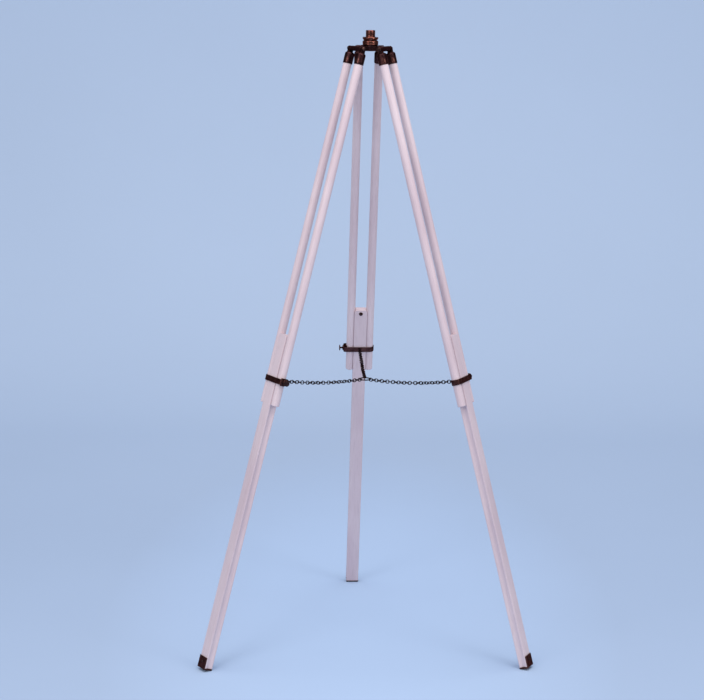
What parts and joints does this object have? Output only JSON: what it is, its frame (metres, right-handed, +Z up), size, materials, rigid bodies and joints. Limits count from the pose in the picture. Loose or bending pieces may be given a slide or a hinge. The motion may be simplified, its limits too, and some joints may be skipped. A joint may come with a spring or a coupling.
{
  "type": "wooden field tripod",
  "caption": "Wooden field tripod with a metal spigot head, folding legs of round dowels and a sliding slat, screw clamps, metal-shod feet and a chain spreader.",
  "frame": {"origin": "centre of the spigot's flat top face", "axes": "+Z up the spigot, legs spread at azimuths 210, 330 and 90 degrees from +X, so -Y faces between two legs; the floor is the plane z = -1.407 m"},
  "size_m": [0.7564, 0.655, 1.4067],
  "materials": {
    "painted_wood": "satin white paint over wood, lightly worn",
    "dark_bronze": "dark antique bronze, worn brighter on the edges",
    "copper_bronze": "turned metal with an antique copper patina",
    "chain_metal": "dark antique bronze wire"
  },
  "bodies": {
    "head": {"hub_casting": "dark_bronze", "mount_spigot": "copper_bronze", "lock_collar": "copper_bronze", "spigot_nut": "dark_bronze", "hinge_bolt_1": "dark_bronze", "hinge_bolt_2": "dark_bronze", "hinge_bolt_3": "dark_bronze", "hinge_nut_1": "dark_bronze", "hinge_nut_2": "dark_bronze", "hinge_nut_3": "dark_bronze", "chain_ring": "chain_metal"},
    "leg_1": {"ferrule_1a": "dark_bronze", "ferrule_1b": "dark_bronze", "dowel_1a": "painted_wood", "dowel_1b": "painted_wood", "clamp_band_1": "dark_bronze", "chain_eye_1": "chain_metal"},
    "lower_leg_1": {"slat_1": "painted_wood", "stop_screw_1": "dark_bronze", "foot_shoe_1": "dark_bronze", "shoe_screw_1": "dark_bronze"},
    "clamp_saddle_1": {"clamp_saddle_1": "dark_bronze"},
    "thumb_screw_1": {"thumb_screw_1": "dark_bronze"},
    "chain_outer_1": {"chain_outer_1": "chain_metal"},
    "chain_inner_1": {"chain_inner_1": "chain_metal"},
    "leg_2": {"ferrule_2a": "dark_bronze", "ferrule_2b": "dark_bronze", "dowel_2a": "painted_wood", "dowel_2b": "painted_wood", "clamp_band_2": "dark_bronze", "chain_eye_2": "chain_metal"},
    "lower_leg_2": {"slat_2": "painted_wood", "stop_screw_2": "dark_bronze", "foot_shoe_2": "dark_bronze", "shoe_screw_2": "dark_bronze"},
    "clamp_saddle_2": {"clamp_saddle_2": "dark_bronze"},
    "thumb_screw_2": {"thumb_screw_2": "dark_bronze"},
    "chain_outer_2": {"chain_outer_2": "chain_metal"},
    "chain_inner_2": {"chain_inner_2": "chain_metal"},
    "leg_3": {"ferrule_3a": "dark_bronze", "ferrule_3b": "dark_bronze", "dowel_3a": "painted_wood", "dowel_3b": "painted_wood", "clamp_band_3": "dark_bronze", "chain_eye_3": "chain_metal"},
    "lower_leg_3": {"slat_3": "painted_wood", "stop_screw_3": "dark_bronze", "foot_shoe_3": "dark_bronze", "shoe_screw_3": "dark_bronze"},
    "clamp_saddle_3": {"clamp_saddle_3": "dark_bronze"},
    "thumb_screw_3": {"thumb_screw_3": "dark_bronze"},
    "chain_outer_3": {"chain_outer_3": "chain_metal"},
    "chain_inner_3": {"chain_inner_3": "chain_metal"}
  },
  "joints": [
    {"name": "leg_1_swing", "type": "hinge", "parent": "head", "child": "leg_1", "pos_m": [-0.03086, -0.01782, -0.0396], "axis": [0.5, -0.866, 0], "range_deg": [0, 15]},
    {"name": "lower_leg_1_slide", "type": "slide", "parent": "leg_1", "child": "lower_leg_1", "axis": [-0.2329, -0.1345, -0.9632], "range_m": [-0.58, 0.08]},
    {"name": "clamp_saddle_1_slide", "type": "slide", "parent": "leg_1", "child": "clamp_saddle_1", "axis": [0.5, -0.866, 0], "range_m": [0, 0.0014]},
    {"name": "thumb_screw_1_turn", "type": "hinge", "parent": "clamp_saddle_1", "child": "thumb_screw_1", "pos_m": [-0.1857, -0.1534, -0.76269], "axis": [0.5, -0.866, 0], "range_deg": [0, 720]},
    {"name": "chain_outer_1_fold", "type": "hinge", "parent": "leg_1", "child": "chain_outer_1", "pos_m": [-0.19244, -0.11111, -0.76697], "axis": [0.5, -0.866, 0], "range_deg": [-94.84, 0]},
    {"name": "chain_inner_1_fold", "type": "hinge", "parent": "head", "child": "chain_inner_1", "pos_m": [-0.01091, -0.0063, -0.7869], "axis": [0.5, -0.866, 0], "range_deg": [0, 90.67]},
    {"name": "leg_2_swing", "type": "hinge", "parent": "head", "child": "leg_2", "pos_m": [0.03086, -0.01782, -0.0396], "axis": [0.5, 0.866, 0], "range_deg": [0, 15]},
    {"name": "lower_leg_2_slide", "type": "slide", "parent": "leg_2", "child": "lower_leg_2", "axis": [0.2329, -0.1345, -0.9632], "range_m": [-0.58, 0.08]},
    {"name": "clamp_saddle_2_slide", "type": "slide", "parent": "leg_2", "child": "clamp_saddle_2", "axis": [0.5, 0.866, 0], "range_m": [0, 0.0014]},
    {"name": "thumb_screw_2_turn", "type": "hinge", "parent": "clamp_saddle_2", "child": "thumb_screw_2", "pos_m": [0.2257, -0.08412, -0.76269], "axis": [0.5, 0.866, 0], "range_deg": [0, 720]},
    {"name": "chain_outer_2_fold", "type": "hinge", "parent": "leg_2", "child": "chain_outer_2", "pos_m": [0.19244, -0.11111, -0.76697], "axis": [0.5, 0.866, 0], "range_deg": [-94.84, 0]},
    {"name": "chain_inner_2_fold", "type": "hinge", "parent": "head", "child": "chain_inner_2", "pos_m": [0.01091, -0.0063, -0.7869], "axis": [0.5, 0.866, 0], "range_deg": [0, 90.67]},
    {"name": "leg_3_swing", "type": "hinge", "parent": "head", "child": "leg_3", "pos_m": [0, 0.03564, -0.0396], "axis": [-1, 0, 0], "range_deg": [0, 15]},
    {"name": "lower_leg_3_slide", "type": "slide", "parent": "leg_3", "child": "lower_leg_3", "axis": [0, 0.2689, -0.9632], "range_m": [-0.58, 0.08]},
    {"name": "clamp_saddle_3_slide", "type": "slide", "parent": "leg_3", "child": "clamp_saddle_3", "axis": [-1, 0, 0], "range_m": [0, 0.0014]},
    {"name": "thumb_screw_3_turn", "type": "hinge", "parent": "clamp_saddle_3", "child": "thumb_screw_3", "pos_m": [-0.04, 0.23753, -0.76269], "axis": [-1, 0, 0], "range_deg": [0, 720]},
    {"name": "chain_outer_3_fold", "type": "hinge", "parent": "leg_3", "child": "chain_outer_3", "pos_m": [0, 0.22221, -0.76697], "axis": [-1, 0, 0], "range_deg": [-94.84, 0]},
    {"name": "chain_inner_3_fold", "type": "hinge", "parent": "head", "child": "chain_inner_3", "pos_m": [0, 0.0126, -0.7869], "axis": [-1, 0, 0], "range_deg": [0, 90.67]}
  ],
  "couplings": [
    {"joint": "thumb_screw_1_turn", "follows": "clamp_saddle_1_slide", "rad_per_m": 8971.5},
    {"joint": "chain_outer_1_fold", "follows": "leg_1_swing", "ratio": -6.322},
    {"joint": "chain_inner_1_fold", "follows": "leg_1_swing", "ratio": 6.0438},
    {"joint": "thumb_screw_2_turn", "follows": "clamp_saddle_2_slide", "rad_per_m": 8971.5},
    {"joint": "chain_outer_2_fold", "follows": "leg_2_swing", "ratio": -6.322},
    {"joint": "chain_inner_2_fold", "follows": "leg_2_swing", "ratio": 6.0438},
    {"joint": "thumb_screw_3_turn", "follows": "clamp_saddle_3_slide", "rad_per_m": 8971.5},
    {"joint": "chain_outer_3_fold", "follows": "leg_3_swing", "ratio": -6.322},
    {"joint": "chain_inner_3_fold", "follows": "leg_3_swing", "ratio": 6.0438}
  ]
}
